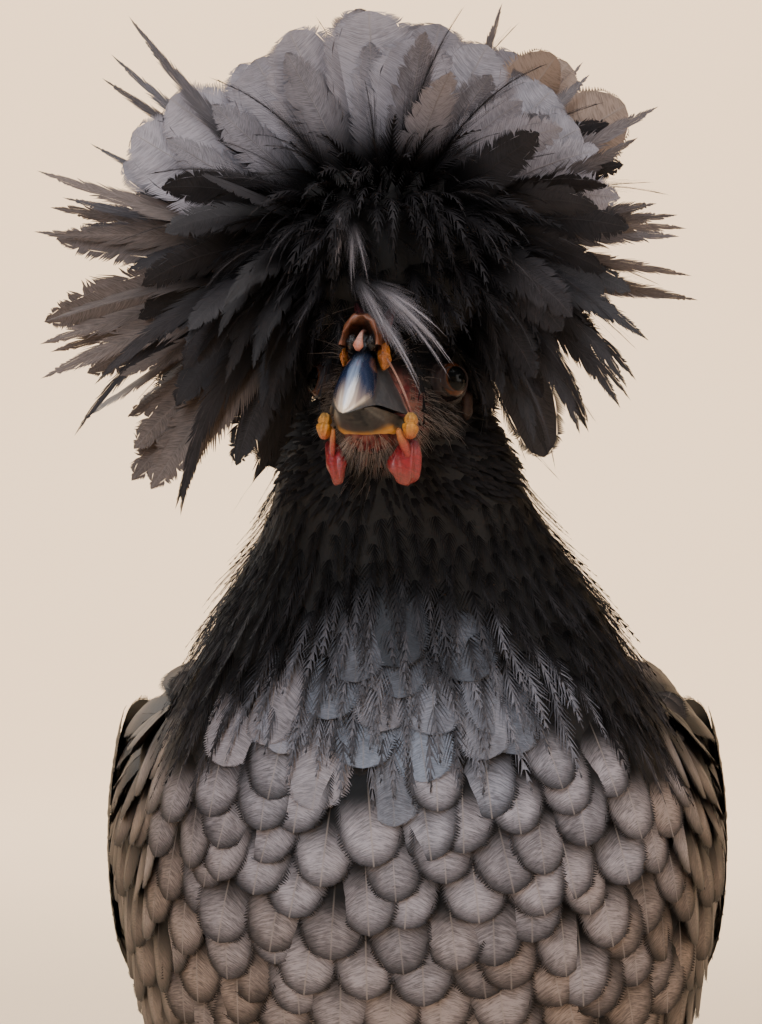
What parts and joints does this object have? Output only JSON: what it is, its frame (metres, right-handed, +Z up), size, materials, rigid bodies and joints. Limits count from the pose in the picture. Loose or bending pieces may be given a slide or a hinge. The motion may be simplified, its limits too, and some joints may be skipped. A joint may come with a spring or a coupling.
{
  "type": "polish crested chicken",
  "caption": "Life-size still model of a black crested hen, standing, with a full loose crest, dark hooked beak, small red wattles and a spread tail.",
  "frame": {"origin": "on the floor under the soles, at the centre of the bounding box", "axes": "+Z up; the breast faces -Y and the tail points to +Y; the bird's left is +X"},
  "size_m": [0.168, 0.3234, 0.394],
  "materials": {
    "plumage": "soft black feathers with a brown-grey sheen",
    "horn": "dark slate horn, pale at the tip",
    "eye": "wet, dark amber",
    "red_skin": "soft, finely grained",
    "scales": "slate scales",
    "brown_skin": "thin brown and orange skin over the nostrils",
    "pale_skin": "soft, pale"
  },
  "bodies": {
    "root": {"torso": "plumage", "neck": "plumage", "head": "plumage", "crest": "plumage", "wing_left": "plumage", "wing_right": "plumage", "tail": "plumage", "thigh_left": "plumage", "thigh_right": "plumage", "upper_mandible": "horn", "lower_mandible": "horn", "eye_left": "eye", "eye_right": "eye", "wattle_left": "red_skin", "wattle_right": "red_skin", "shank_left": "scales", "shank_right": "scales", "foot_left": "scales", "foot_right": "scales", "nostril_dome": "brown_skin", "comb": "red_skin", "ear_lobe_left": "pale_skin", "ear_lobe_right": "pale_skin"}
  },
  "joints": []
}
